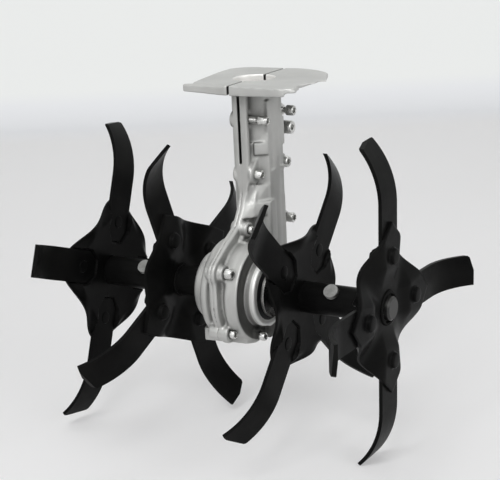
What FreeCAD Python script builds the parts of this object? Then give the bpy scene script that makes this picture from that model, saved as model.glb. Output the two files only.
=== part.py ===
"""Tiller head that clamps on the end of a brush cutter tube: a split worm-gear case,
a cross shaft and two pairs of four-armed tine rotors.

Millimetres. Built around the gearbox: X runs along the tine shaft, Z points up the tube and
the tine shaft's axis is X itself. Each piece is then moved so that the origin is the centre of
the tube clamp's mouth, on the top face of the flange.
"""
import FreeCAD, Part
import os
from math import cos, radians, sin, sqrt

Vector = FreeCAD.Vector
AXIS_X = Vector(1, 0, 0)
AXIS_Z = Vector(0, 0, 1)

# ---- driving dimensions -------------------------------------------------------------------
running_gap = 0.05        # radial gap of a turning shaft in its bore
pin_gap = 0.1             # radial gap of a pin, or of a hub tube on its shaft
weld_gap = 0.05           # radial gap of a plate on the tube that it is welded to

# tube clamp and column of the case
tube_bore_r = 14.0        # takes a 28 mm tube
tube_wall = 2.0
tube_depth = 86.0         # how far the tube goes in, from the flange's top
tube_offset = 30.0        # worm axis behind the tine shaft's axis
case_top = 140.0          # flange's top face above the tine shaft
clamp_gap = 1.6           # gap between the case halves over the clamp
clamp_slit_bottom = 85.0
flange_thick = 6.6        # height of the lip along the flange's front
flange_lip = 2.4          # width of that lip
flange_plate = 2.4        # thickness of the plate behind the lip
web_right = 6.0           # thickness of the rim on each side of the split
web_left = 4.6
web_floor = 2.8           # the same between the rims, where the column is hollowed out
rim_width = 4.0
web_front = -23.0         # front and back edge of the column, from the tube's axis
web_back = 25.0
pad_half = 15.0           # flat side of the column
worm_case_r = 18.0        # lower block around the worm
worm_case_top = 58.0

# gear drum around the tine shaft
drum_r = 36.5             # rim at the split
drum_rim_half = 3.0
drum_body_r = 34.4
drum_half = 13.0
drum_round = 3.4
boss_r = 23.5
boss_end = 24.0           # outer face of the bearing boss
seal_r = 19.0
seal_recess = 2.5
foot_bottom = -33.0

# tine shaft and rotors
shaft_r = 8.0
hub_r = 10.5
hub_start = 27.0
washer_r = 16.5           # thrust washer between the bearing boss and the hub tube
washer_thick = 2.0
inner_x = 47.6            # middle of the inner tines, from the case's split
outer_x = 110.0
hub_inset = 0.5           # hub tubes stop this far short of the middle of the outer tines
shaft_overhang = 4.0      # and the shaft stands out this far past it
hub_end = outer_x - hub_inset
shaft_half = outer_x + shaft_overhang
tine_thick = 2.5
tine_base_width = 23.2
tine_tip_width = 21.7
tine_base_r = 21.0        # inner end of a tine, from the shaft's axis
tine_bend_start = 68.1
tine_bend_r = 55.8
tine_bend_deg = 45.4
tine_tip_slant = 2.4
plate_thick = 2.2
plate_tip_r = 57.5
plate_lobe_r = 49.0
plate_valley_r = 41.5
lobe_half_deg = 13.8
plate_hub_dip = 3.4       # how far the plate lies under the tine's face, at the hub
plate_rim_dip = 5.4       # and at the rim between two tines
plate_flat_rim = 1.6      # flat edge left outside the dish, where the plate is narrowest
channel_side = 3.6        # width of the sloped sides of a tine's channel
pin_x = 73.5
pin_r = 3.0
pin_head_r = 4.9
pin_head_h = 3.0
clip_wire_r = 0.9

# input coupling
coupling_r = 8.0
coupling_top = 50.0
coupling_bottom = 28.0
spline_r = 3.6
spline_tooth = 1.0
spline_count = 7

# rotor: node name, middle of its tines along X, turn of its first arm from +Z towards -Y,
# side of the tines that the plate lies on, side that the first blade bends to
rotors = [
    ("outer_right", outer_x, -1.8, 1, -1),
    ("inner_right", inner_x, 46.8, -1, 1),
    ("inner_left", -inner_x, 22.4, 1, 1),
    ("outer_left", -outer_x, -20.0, -1, -1),
]
# arm: name, turn from the rotor's first arm; its blade bends to the other side than the last one
arms = [("a", 0), ("b", 90), ("c", 180), ("d", 270)]

# screws through the split: name, place in the YZ plane, radius of the hole, height of the right
# and left seat from the split, radius of the boss
screws = [
    ("clamp_front", 13.0, 114.5, 2.6, 4.0, 7.6, 6.0),
    ("column_front", 12.5, 77.5, 2.6, 8.6, 6.2, 6.5),
    ("neck", 2.0, 41.5, 2.6, 8.0, 4.8, 5.4),
    ("drum_front", -30.0, 19.5, 2.6, 7.0, 7.0, 5.5),
    ("foot_front", -28.0, -23.0, 2.6, 7.5, 7.5, 5.5),
    ("foot_back", -8.0, -28.6, 2.6, 18.6, 16.0, 4.2),
    ("clamp_back_top", 50.5, 114.8, 2.6, 7.5, 5.4, 5.0),
    ("clamp_back", 50.5, 103.0, 2.6, 7.5, 5.4, 6.2),
    ("column_back", 50.5, 78.5, 2.6, 8.5, 5.4, 5.8),
    ("worm_back", 50.5, 38.5, 2.6, 7.5, 5.4, 5.2),
]


# ---- small helpers ------------------------------------------------------------------------
def vec(x, y, z):
    return Vector(x, y, z)


def box(low, high):
    """A block between two corners."""
    size = [b - a for a, b in zip(low, high)]
    return Part.makeBox(size[0], size[1], size[2], vec(*low))


def cylinder_x(radius, x0, x1, y=0.0, z=0.0):
    return Part.makeCylinder(radius, x1 - x0, vec(x0, y, z), AXIS_X)


def cylinder_z(radius, z0, z1, x=0.0, y=0.0):
    return Part.makeCylinder(radius, z1 - z0, vec(x, y, z0), AXIS_Z)


def face_from(edges):
    return Part.Face(Part.Wire(edges))


def line(a, b):
    return Part.LineSegment(a, b).toShape()


def arc(a, middle, b):
    return Part.Arc(a, middle, b).toShape()


def outline(steps, place):
    """Closed face from (point) and (middle, point) steps; place turns two numbers into a vector."""
    edges = []
    here = place(*steps[0])
    first = here
    for step in steps[1:]:
        if len(step) == 2 and isinstance(step[0], tuple):
            there = place(*step[1])
            edges.append(arc(here, place(*step[0]), there))
        else:
            there = place(*step)
            edges.append(line(here, there))
        here = there
    if here.distanceToPoint(first) > 1e-6:
        edges.append(line(here, first))
    return face_from(edges)


def fuse(shapes):
    whole = shapes[0].multiFuse(shapes[1:])
    return whole.removeSplitter()


# ---- gear case ----------------------------------------------------------------------------
def in_split(y, z):
    """A point of the case's side view, in the plane of the split."""
    return vec(0, y, z)


def slab(face, x0, x1):
    return face.translated(vec(x0, 0, 0)).extrude(vec(x1 - x0, 0, 0))


def column_top():
    """Underside of the flange's plate, where the column's walls end."""
    return case_top - flange_plate


def side_profile():
    """The case's outline seen along X: column, S-shaped front, lug, drum and foot."""
    front = tube_offset + web_front
    back = tube_offset + web_back
    heel = tube_offset + worm_case_r - 6.0
    drum_end = radians(41.0)
    return outline([
        (front, column_top()),
        (front, 66.0),
        ((front - 3.4, 55.6), (front - 10.8, 44.4)),
        ((front - 17.6, 40.4), (front - 26.0, 36.4)),
        (front - 41.5, 26.5),
        ((front - 45.2, 20.5), (front - 43.6, 13.0)),
        (-drum_r, 3.0),
        ((-drum_r * cos(drum_end / 2), -drum_r * sin(drum_end / 2)),
         (-drum_r * cos(drum_end), -drum_r * sin(drum_end))),
        (front - 33.5, foot_bottom + 4.0),
        (front - 29.0, foot_bottom),
        (heel - 16.0, foot_bottom),
        (heel, foot_bottom + 16.0),
        (heel + 5.0, 8.0),
        (back, 26.0),
        (back, column_top()),
    ], in_split)


def rims():
    """Rims along the split: thick on the column, thinner on the S-shaped front and round the drum."""
    top = column_top()
    wide_end, narrow_start = 73.0, 61.0
    taper = outline([
        (web_right, top),
        (web_right, wide_end),
        (drum_rim_half, narrow_start),
        (drum_rim_half, foot_bottom - 1.0),
        (-drum_rim_half, foot_bottom - 1.0),
        (-drum_rim_half, narrow_start - 6.0),
        (-drum_rim_half + 0.6, narrow_start + 1.0),
        (-web_left, wide_end),
        (-web_left, top),
    ], lambda x, z: vec(x, -80.0, z)).extrude(vec(0, 160.0, 0))
    return slab(side_profile(), -web_left, web_right).common(taper)


def hollow(side):
    """Recess between the rims of one side of the column."""
    front = tube_offset + web_front + rim_width
    back = tube_offset + web_back - rim_width
    top = column_top()
    face = outline([
        (front, top),
        (front, 68.0),
        (front + 3.0, worm_case_top - 2.0),
        (back, worm_case_top - 2.0),
        (back, top),
    ], in_split)
    x0, x1 = sorted((side * web_floor, side * (web_right + 1)))
    return slab(face, x0, x1)


def column():
    """Round barrel of the tube clamp with its flat pad, and the wider block around the worm."""
    top = column_top()
    wall_r = tube_bore_r + tube_wall
    barrel = cylinder_z(wall_r, worm_case_top - 6.0, top, 0, tube_offset)
    low = foot_bottom + 12.0
    worm_case = [cylinder_z(wall_r, low, worm_case_top, 0, tube_offset)]
    wide = cylinder_z(worm_case_r, low, worm_case_top, 0, tube_offset)
    cap = Part.makeCone(worm_case_r, wall_r, 3.0, vec(0, tube_offset, worm_case_top), AXIS_Z)
    wide = wide.fuse(cap)
    reach = 40.0
    pad_y = 10.0
    flat = box((0, tube_offset - reach, low), (pad_half + 0.6, tube_offset + reach, case_top))
    worm_case.append(wide.common(flat))
    corner = box((0, tube_offset - pad_y, low), (pad_half + 0.6, tube_offset, worm_case_top))
    worm_case.append(corner)
    pad = box((0, tube_offset - pad_y, worm_case_top - 2), (pad_half, tube_offset + pad_y, top - 11.0))
    # band across the recess, under the clamp
    band = cylinder_z(wall_r + 2.6, 90.2, 98.7, 0, tube_offset)
    band = band.common(box((7.0, 0, 80.0), (pad_half, tube_offset - 6.0, case_top)))
    cross_rib = box((0, tube_offset + 8.0, 122.0), (5.8, tube_offset + web_back, 125.0))
    return [barrel, pad, band, cross_rib] + worm_case


def neck():
    """Body between the column and the drum, set back from the rim's S-shaped front."""
    front = tube_offset + web_front + 5.0
    neck_left, neck_right = 4.0, 9.0
    face = outline([
        (front, 66.0),
        ((front - 5.2, 55.0), (front - 7.6, 46.5)),
        ((front - 11.6, 41.0), (front - 18.0, 35.0)),
        (front - 18.0, 0.0),
        (tube_offset, 0.0),
        (tube_offset, 66.0),
    ], in_split)
    return slab(face, -neck_left, neck_right)


def drum():
    """Round gear case and its bearing bosses, turned about the tine shaft."""
    r, w, f = drum_body_r, drum_half, drum_round
    bevel = f * (1 - sqrt(0.5))
    half = [
        (0.0, 0.0),
        (0.0, r),
        (w - f, r),
        ((w - bevel, r - bevel), (w, r - f)),
        (w + 2.6, boss_r + 0.8),
        ((w + 2.9, boss_r + 0.2), (w + 3.8, boss_r)),
        (boss_end - 2.0, boss_r),
        ((boss_end - 0.6, boss_r - 0.6), (boss_end, boss_r - 2.0)),
        (boss_end, 0.0),
    ]
    right = outline(half, lambda x, z: vec(x, 0, z)).revolve(vec(0, 0, 0), AXIS_X, 360)
    left = right.mirror(vec(0, 0, 0), AXIS_X)
    return [right, left]


def foot():
    """Flat foot under the drum, with a step on the right that carries the bearing boss."""
    foot_high, step_high = 9.0, 14.0
    step_x = 22.4
    face = outline([
        (-19.0, -18.0),
        (-17.0, -22.4),
        (14.0, -18.2),
        (18.4, -13.5),
        (18.4, 12.0),
        (-16.0, 12.0),
        (-19.0, 9.0),
    ], lambda x, y: vec(x, y, foot_bottom))
    step = box((boss_r / 2, -1.0, foot_bottom), (step_x, 14.0, foot_bottom + step_high))
    return [face.extrude(vec(0, 0, foot_high)), step]


def flange():
    """Plate at the top of the case with a lip along its front; its ear thins out to the edge."""
    low = case_top - flange_thick
    under = column_top()
    front_left, front_right = (-36.4, -3.0), (43.0, -8.2)
    face = outline([
        front_left,
        front_right,
        (44.4, -6.8),
        (44.4, 7.4),
        ((45.6, 14.5), (51.1, 20.5)),
        (50.0, 28.0),
        (54.2, 31.0),
        (41.5, 58.4),
        (38.4, 62.1),
        ((26.0, 70.5), (12.3, 74.5)),
        (-16.7, 72.0),
        ((-30.0, 69.5), (-37.4, 60.0)),
    ], lambda x, y: vec(x, y, low))
    end_low = case_top - 5.2
    front_view = outline([
        (-60.0, end_low + 0.4),
        (-4.0, low),
        (6.0, low),
        (60.0, end_low + 0.4),
        (60.0, case_top + 1),
        (-60.0, case_top + 1),
    ], lambda x, z: vec(x, -20.0, z)).extrude(vec(0, 120.0, 0))
    block = face.extrude(vec(0, 0, flange_thick)).common(front_view)
    behind_lip = outline([
        (-80.0, front_left[1] + flange_lip + 2.8),
        (front_left[0], front_left[1] + flange_lip),
        (front_right[0], front_right[1] + flange_lip),
        (80.0, front_right[1] + flange_lip - 2.4),
        (80.0, 120.0),
        (-80.0, 120.0),
    ], lambda x, y: vec(x, y, low - 1)).extrude(vec(0, 0, under - low + 1))
    step = box((-45.0, -12.0, case_top - 0.7), (-3.5, 1.5, case_top + 1))
    ear_edge = 0.7
    ear_start = 44.8
    under_ear = outline([
        (ear_start, under - 1),
        (ear_start, under),
        (ear_start + 3.0, case_top - ear_edge),
        (70.0, case_top - ear_edge),
        (70.0, under - 1),
    ], lambda x, z: vec(x, -20.0, z)).extrude(vec(0, 120.0, 0))
    return block.cut([behind_lip, step, under_ear])


def flange_ribs():
    """Gussets under the flange on both sides of the clamp."""
    under = column_top() + 0.5
    drop, half = 10.0, 1.5
    ribs = []
    for side in (-1, 1):
        gusset = outline([
            (side * tube_bore_r, under - drop),
            (side * 36.0, under - 1.5),
            (side * 36.0, under),
            (side * tube_bore_r, under),
        ], lambda x, z: vec(x, tube_offset - half, z))
        ribs.append(gusset.extrude(vec(0, 2 * half, 0)))
    return ribs


def screw_bosses():
    bosses = []
    for name, y, z, hole, right, left, radius in screws:
        bosses.append(cylinder_x(radius, -left, right, y, z))
    return bosses


def case_body():
    web = rims().cut([hollow(1), hollow(-1)])
    pieces = [web, neck()] + column() + drum() + [flange()] + flange_ribs() + foot()
    body = fuse(pieces)
    # open pocket around the neck's screw, then the bosses stand in it
    pocket = cylinder_x(11.0, 5.5, drum_half + 8.0, 3.0, 43.0)
    body = body.cut(pocket).multiFuse(screw_bosses())
    bore = cylinder_z(tube_bore_r, case_top - tube_depth, case_top + 1, 0, tube_offset)
    throat = cylinder_z(coupling_r + 3.0, coupling_top - 8.0, case_top - tube_depth + 1, 0, tube_offset)
    socket = cylinder_z(coupling_r + running_gap, coupling_bottom - 1.0, coupling_top, 0, tube_offset)
    shaft_hole = cylinder_x(shaft_r + running_gap, -boss_end - 1, boss_end + 1)
    cuts = [bore, throat, socket, shaft_hole]
    for name, y, z, hole, right, left, radius in screws:
        cuts.append(cylinder_x(hole, -left + 2.0, right + 1, y, z))
    for side in (-1, 1):
        x0, x1 = sorted((side * (boss_end - seal_recess), side * (boss_end + 1)))
        cuts.append(cylinder_x(seal_r, x0, x1))
    for y0, y1 in ((-60.0, 0.0), (0.0, 60.0)):
        cuts.append(box((-clamp_gap / 2, tube_offset + y0, clamp_slit_bottom),
                        (clamp_gap / 2, tube_offset + y1, case_top + 1)))
    return body.cut(cuts)


def case_halves():
    body = case_body()
    reach = 200.0
    right = body.common(box((0, -reach, -reach), (reach, reach, reach)))
    left = body.common(box((-reach, -reach, -reach), (0, reach, reach)))
    return {"case_left": left, "case_right": right}


def shaft_seals():
    seals = {}
    for side, x0 in (("left", -boss_end + 0.5), ("right", boss_end - seal_recess)):
        ring = cylinder_x(seal_r, x0, x0 + seal_recess - 0.5)
        seals["shaft_seal_" + side] = ring.cut(cylinder_x(shaft_r + running_gap, x0 - 1, x0 + 5))
    return seals


# ---- drive --------------------------------------------------------------------------------
def input_coupling():
    """Top of the worm: a round head with the splined socket that takes the drive shaft."""
    head = cylinder_z(coupling_r, coupling_bottom, coupling_top, 0, tube_offset)
    depth = 18.0
    socket = [cylinder_z(spline_r, coupling_top - depth, coupling_top + 1, 0, tube_offset)]
    for i in range(spline_count):
        key = box((-spline_tooth / 2, 0, coupling_top - depth),
                  (spline_tooth / 2, spline_r + spline_tooth, coupling_top + 1))
        key.rotate(vec(0, 0, 0), AXIS_Z, 360.0 * i / spline_count)
        socket.append(key.translated(vec(0, tube_offset, 0)))
    return {"input_coupling": head.cut(socket)}


def pin_direction():
    """Way from the shaft's axis to the head of the clevis pins."""
    turn = radians(rotors[0][2] + 45.0)
    return vec(0, -sin(turn), cos(turn))


def pin_hole(x):
    reach = 30.0
    way = pin_direction()
    return Part.makeCylinder(pin_r + pin_gap, 2 * reach, vec(x, 0, 0) - way * reach, way)


def tine_shaft():
    shaft = cylinder_x(shaft_r, -shaft_half, shaft_half)
    chamfer = 1.2
    ends = [edge for edge in shaft.Edges if edge.Length < 2 * 3.2 * shaft_r and edge.Closed]
    shaft = shaft.makeChamfer(chamfer, ends)
    return {"tine_shaft": shaft.cut([pin_hole(-pin_x), pin_hole(pin_x)])}


def hub_tubes():
    tubes = {}
    for side, sign in (("left", -1), ("right", 1)):
        x0, x1 = sorted((sign * hub_start, sign * hub_end))
        bore = cylinder_x(shaft_r + pin_gap, x0 - 1, x1 + 1)
        tube = cylinder_x(hub_r, x0, x1).cut([bore, pin_hole(sign * pin_x)])
        tubes["hub_tube_" + side] = tube
    return tubes


def thrust_washers():
    washers = {}
    for side, sign in (("left", -1), ("right", 1)):
        x0, x1 = sorted((sign * (hub_start - washer_thick), sign * hub_start))
        ring = cylinder_x(washer_r, x0, x1).cut(cylinder_x(shaft_r + pin_gap, x0 - 1, x1 + 1))
        washers["thrust_washer_" + side] = ring
    return washers


def clevis_pins():
    pins = {}
    way = pin_direction()
    length = 2 * hub_r + 7.0
    for side, sign in (("left", -1), ("right", 1)):
        top = vec(sign * pin_x, 0, 0) + way * hub_r
        shank = Part.makeCylinder(pin_r, length, top - way * length, way)
        head = Part.makeCylinder(pin_head_r, pin_head_h, top, way)
        hole = Part.makeCylinder(clip_wire_r + 0.05, 20, top - way * (length - 3.0) - AXIS_X * 10, AXIS_X)
        pins["clevis_pin_" + side] = shank.fuse(head).cut(hole)
    return pins


# ---- tines --------------------------------------------------------------------------------
def tine(bend):
    """One blade standing along +Z, bent to the side of +X (bend 1) or -X (bend -1)."""
    half = tine_thick / 2
    turn = radians(tine_bend_deg)
    middle = turn / 2
    start = tine_bend_start
    reach = 40.0

    def curve(radius, angle):
        return vec(tine_bend_r - radius * cos(angle), 0, start + radius * sin(angle))

    inner, outer = tine_bend_r - half, tine_bend_r + half
    strip = face_from([
        line(vec(half, 0, tine_base_r), vec(half, 0, start)),
        arc(vec(half, 0, start), curve(inner, middle), curve(inner, turn)),
        line(curve(inner, turn), curve(outer, turn)),
        arc(curve(outer, turn), curve(outer, middle), vec(-half, 0, start)),
        line(vec(-half, 0, start), vec(-half, 0, tine_base_r)),
        line(vec(-half, 0, tine_base_r), vec(half, 0, tine_base_r)),
    ]).translated(vec(0, -reach, 0)).extrude(vec(0, 2 * reach, 0))
    tip = start + inner * sin(turn)
    base_w, tip_w, slant = tine_base_width / 2, tine_tip_width / 2, tine_tip_slant
    corner = 1.2
    shape = outline([
        (-base_w + 6.0, tine_base_r),
        (base_w - 6.0, tine_base_r),
        (base_w, tine_base_r + 8.0),
        (base_w, start),
        (tip_w, tip + slant - corner),
        (tip_w - corner, tip + slant),
        (-tip_w + corner, tip - slant),
        (-tip_w, tip - slant - corner),
        (-base_w, start),
        (-base_w, tine_base_r + 8.0),
    ], lambda y, z: vec(-reach, y, z)).extrude(vec(2 * reach, 0, 0))
    blade = strip.common(shape)
    if bend < 0:
        blade = blade.mirror(vec(0, 0, 0), AXIS_X)
    return blade


def channel(shift):
    """Prism over one tine along +Z, whose sloped sides reach down past the plate's rim."""
    roof = plate_thick + shift
    half = tine_base_width / 2 + 0.5
    depth = plate_rim_dip + plate_thick + 2.0
    spread = channel_side * depth / (plate_rim_dip + plate_thick)
    soft = 1.6
    section = outline([
        (roof, -half + soft * 0.6),
        ((roof - soft * 0.25, -half - soft * 0.1), (roof - soft, -half - soft * 0.5)),
        (roof - depth, -half - spread),
        (roof - depth, half + spread),
        (roof - soft, half + soft * 0.5),
        ((roof - soft * 0.25, half + soft * 0.1), (roof, half - soft * 0.6)),
    ], lambda x, y: vec(x, y, 0))
    return section.extrude(vec(0, 0, plate_tip_r + 5.0))


def dish(shift):
    """Shallow cone that the plate follows between the tines, filled down to below the rim."""
    hub, rim = plate_thick + shift - plate_hub_dip, plate_thick + shift - plate_rim_dip
    floor = rim - 20.0
    return outline([
        (floor, 0),
        (hub, 0),
        (hub, hub_r + 3.0),
        (rim, plate_valley_r - plate_flat_rim),
        (rim, plate_tip_r + 5.0),
        (floor, plate_tip_r + 5.0),
    ], lambda x, z: vec(x, 0, z)).revolve(vec(0, 0, 0), AXIS_X, 360)


def formed(shift):
    """Everything under the plate's pressed surface; x = 0 is the face that lies on the tines."""
    whole = [dish(shift)]
    hub_slope = 8.0
    start = hub_r + 1.5
    for turn in range(0, 360, 90):
        prism = channel(shift)
        ramp = outline([
            (-20.0, start - 6.0),
            (plate_thick + shift - plate_hub_dip, start),
            (plate_thick + shift + 0.01, start + hub_slope),
            (plate_thick + shift + 0.01, plate_tip_r + 6.0),
            (-20.0, plate_tip_r + 6.0),
        ], lambda x, z: vec(x, -60.0, z)).extrude(vec(0, 120.0, 0))
        prism = prism.common(ramp)
        prism.rotate(vec(0, 0, 0), AXIS_X, turn)
        whole.append(prism)
    return whole[0].multiFuse(whole[1:])


def plate_blank():
    edges = []

    def at(radius, degrees):
        return vec(-20, -radius * sin(radians(degrees)), radius * cos(radians(degrees)))

    for turn in range(0, 360, 90):
        edges.append(line(at(plate_lobe_r, turn - lobe_half_deg), at(plate_tip_r, turn)))
        edges.append(line(at(plate_tip_r, turn), at(plate_lobe_r, turn + lobe_half_deg)))
        edges.append(arc(at(plate_lobe_r, turn + lobe_half_deg), at(plate_valley_r, turn + 45),
                         at(plate_lobe_r, turn + 90 - lobe_half_deg)))
    return face_from(edges).extrude(vec(40, 0, 0))


def star_plate():
    """Pressed four-lobed plate: channels hold the tines, the webs between them are dished."""
    plate = plate_blank().common(formed(0.0)).cut(formed(-plate_thick))
    plate = plate.cut(cylinder_x(hub_r + weld_gap, -30, 30))
    return max(plate.Solids, key=lambda solid: solid.Volume)


def rotor_pieces():
    pieces = {}
    for name, x, phase, side, first_bend in rotors:
        plate = star_plate().translated(vec(tine_thick / 2, 0, 0))
        if side < 0:
            plate = plate.mirror(vec(0, 0, 0), AXIS_X)
        plate.rotate(vec(0, 0, 0), AXIS_X, phase)
        pieces["star_plate_" + name] = plate.translated(vec(x, 0, 0))
        for index, (arm, turn) in enumerate(arms):
            blade = tine(first_bend * (-1) ** index)
            blade.rotate(vec(0, 0, 0), AXIS_X, phase + turn)
            pieces["tine_" + name + "_" + arm] = blade.translated(vec(x, 0, 0))
    return pieces


# ---- export -------------------------------------------------------------------------------
def build():
    nodes = {}
    for group in (case_halves(), shaft_seals(), input_coupling(), tine_shaft(), hub_tubes(),
                  clevis_pins(), thrust_washers(), rotor_pieces()):
        nodes.update(group)
    os.makedirs("parts", exist_ok=True)
    mouth = vec(0, tube_offset, case_top)
    for name, shape in nodes.items():
        shape.translated(vec(0, 0, 0) - mouth).exportStep("parts/" + name + ".step")
        print(name, "solids", len(shape.Solids), "valid", shape.isValid(), "volume", round(shape.Volume))


build()
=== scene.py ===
import math
import bpy
import bmesh
from mathutils import Matrix, Vector


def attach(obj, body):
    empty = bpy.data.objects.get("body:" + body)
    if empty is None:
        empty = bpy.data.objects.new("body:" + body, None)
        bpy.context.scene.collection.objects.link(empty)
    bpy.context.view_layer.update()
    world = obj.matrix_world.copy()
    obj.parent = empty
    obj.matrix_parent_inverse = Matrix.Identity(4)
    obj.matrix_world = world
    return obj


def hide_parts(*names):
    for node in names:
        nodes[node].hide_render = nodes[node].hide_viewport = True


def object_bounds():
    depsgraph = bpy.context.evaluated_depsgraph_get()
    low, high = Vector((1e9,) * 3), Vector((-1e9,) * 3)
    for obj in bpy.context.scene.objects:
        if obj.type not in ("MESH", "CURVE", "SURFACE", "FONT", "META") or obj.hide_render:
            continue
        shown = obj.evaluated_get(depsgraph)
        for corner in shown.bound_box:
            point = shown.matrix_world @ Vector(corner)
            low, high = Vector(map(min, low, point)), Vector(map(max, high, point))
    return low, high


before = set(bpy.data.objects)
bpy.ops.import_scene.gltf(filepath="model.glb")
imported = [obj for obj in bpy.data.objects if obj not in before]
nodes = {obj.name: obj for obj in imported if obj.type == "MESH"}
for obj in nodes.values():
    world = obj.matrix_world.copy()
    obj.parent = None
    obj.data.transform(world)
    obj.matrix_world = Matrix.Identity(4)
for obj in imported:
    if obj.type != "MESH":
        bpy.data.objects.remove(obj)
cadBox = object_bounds()
print("frame loaded,", len(nodes), "parts")

mm = 0.001
shaftY, shaftZ = -30.0, -140.0    # tine shaft's axis, in millimetres from the tube clamp's mouth


def addNode(tree, kind, inputs=None, **settings):
    node = tree.nodes.new(kind)
    for key, value in settings.items():
        setattr(node, key, value)
    for key, value in (inputs or {}).items():
        node.inputs[key].default_value = value
    return node


def startMaterial(name):
    material = bpy.data.materials.new(name)
    material.use_nodes = True
    tree = material.node_tree
    coords = addNode(tree, "ShaderNodeTexCoord").outputs["Object"]
    return material, tree, tree.nodes["Principled BSDF"], coords


def grain(tree, coords, scale, detail=4.0, roughness=0.55, distortion=0.0):
    texture = addNode(tree, "ShaderNodeTexNoise", {"Scale": scale, "Detail": detail, "Roughness": roughness,
                                                   "Distortion": distortion})
    tree.links.new(coords, texture.inputs["Vector"])
    return texture.outputs["Fac"]


def spread(tree, source, low, high, bottom=0.0, top=1.0):
    limits = addNode(tree, "ShaderNodeMapRange", {
        "From Min": low, "From Max": high, "To Min": bottom, "To Max": top})
    tree.links.new(source, limits.inputs["Value"])
    return limits.outputs["Result"]


def tint(tree, source, stops):
    ramp = addNode(tree, "ShaderNodeValToRGB")
    while len(ramp.color_ramp.elements) < len(stops):
        ramp.color_ramp.elements.new(0.5)
    for element, (place, colour) in zip(ramp.color_ramp.elements, stops):
        element.position = place
        element.color = (*colour, 1.0)
    tree.links.new(source, ramp.inputs["Fac"])
    return ramp.outputs["Color"]


def blendColours(tree, factor, a, b, mode="MIX"):
    mixer = addNode(tree, "ShaderNodeMix", data_type="RGBA", blend_type=mode)
    for socket, value in ((mixer.inputs[0], factor), (mixer.inputs[6], a), (mixer.inputs[7], b)):
        if isinstance(value, bpy.types.NodeSocket):
            tree.links.new(value, socket)
        elif isinstance(value, (int, float)):
            socket.default_value = value
        else:
            socket.default_value = (*value, 1.0)
    return mixer.outputs[2]


def relief(tree, shader, layers):
    below = None
    for height, strength, depth in layers:
        bump = addNode(tree, "ShaderNodeBump", {"Strength": strength, "Distance": depth})
        tree.links.new(height, bump.inputs["Height"])
        if below:
            tree.links.new(below, bump.inputs["Normal"])
        below = bump.outputs["Normal"]
    tree.links.new(below, shader.inputs["Normal"])


def corners(tree, distance, low, high):
    # ambient occlusion turned into a mask, which the finishes use to paint shade into hollows
    hollow = addNode(tree, "ShaderNodeAmbientOcclusion", {"Distance": distance}, samples=10)
    return spread(tree, hollow.outputs["AO"], low, high)


castSettings = {
    "light": (0.57, 0.57, 0.556), "dark": (0.47, 0.47, 0.458), "metallic": 0.56, "gloss": (0.42, 0.56),
    # painted shade: the colour that darkens the creases
    "paintedCreaseShade": (0.24, 0.238, 0.23), "creaseReach": 0.004, "creaseRange": (0.15, 0.7),
    # painted shade: a dark colour for pockets, such as the column under the flange
    "pocket": (0.15, 0.15, 0.144), "pocketReach": 0.030, "pocketRange": (0.30, 0.92),
    # the bore is machined, and is also painted brighter as painted light on its far wall
    "machinedAndLitBore": (0.92, 0.91, 0.89), "machinedAndLitBoreRange": (0.0142, 0.0147),
    # painted shade: a dark ring on the drum's end face, where the recess lies in shade
    "recess": (0.13, 0.13, 0.123), "recessBand": (24.4, 33.2, 12.0),
    # the boss face is machined, and is also painted brighter as painted light from the front
    "machinedAndLitFace": (0.80, 0.80, 0.785), "machinedAndLitFaceBand": (0.0, 24.2, 19.6),
    # painted shade: the faces inside the clamp's gap are nearly black
    "gap": (0.02, 0.02, 0.019), "gapWidth": (0.86, 1.0), "gapBottom": (-55.0, -54.5),
    "cloudScale": 26.0, "cloudRange": (0.35, 0.65), "skinScale": 210.0, "skinRange": (0.3, 0.75, 0.0, 0.35),
    "skinDepth": 0.0004, "sandScale": 900.0, "sandDepth": 0.00016,
}


def drumBand(tree, coords, inner, outer, outward, blur=0.3):
    # 1 on the right half's end face between two radii from the tine shaft, further out than a given X; it
    # places the painted shade on the drum's recessed ring and the painted light on the boss face
    across = addNode(tree, "ShaderNodeVectorMath", {1: (0.0, -shaftY * mm, -shaftZ * mm)}, operation="ADD")
    tree.links.new(coords, across.inputs[0])
    flat = addNode(tree, "ShaderNodeVectorMath", {1: (0.0, 1.0, 1.0)}, operation="MULTIPLY")
    tree.links.new(across.outputs[0], flat.inputs[0])
    radius = addNode(tree, "ShaderNodeVectorMath", operation="LENGTH")
    tree.links.new(flat.outputs[0], radius.inputs[0])
    side = addNode(tree, "ShaderNodeSeparateXYZ")
    tree.links.new(coords, side.inputs[0])
    mask = spread(tree, side.outputs["X"], outward * mm, (outward + 2 * blur) * mm)
    for source in (spread(tree, radius.outputs["Value"], (inner - blur) * mm, (inner + blur) * mm),
                   spread(tree, radius.outputs["Value"], (outer - blur) * mm, (outer + blur) * mm, 1.0, 0.0)):
        both = addNode(tree, "ShaderNodeMath", operation="MULTIPLY")
        tree.links.new(mask, both.inputs[0])
        tree.links.new(source, both.inputs[1])
        mask = both.outputs[0]
    return mask


def gapShadeMask(tree, coords, width, bottom):
    # 1 on the faces inside the clamp's gap, which are painted nearly black as painted shade
    place = addNode(tree, "ShaderNodeSeparateXYZ")
    tree.links.new(coords, place.inputs[0])
    side = addNode(tree, "ShaderNodeMath", operation="ABSOLUTE")
    tree.links.new(place.outputs["X"], side.inputs[0])
    both = addNode(tree, "ShaderNodeMath", operation="MULTIPLY")
    tree.links.new(spread(tree, side.outputs[0], width[0] * mm, width[1] * mm, 1.0, 0.0), both.inputs[0])
    tree.links.new(spread(tree, place.outputs["Z"], bottom[0] * mm, bottom[1] * mm), both.inputs[1])
    return both.outputs[0]


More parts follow.
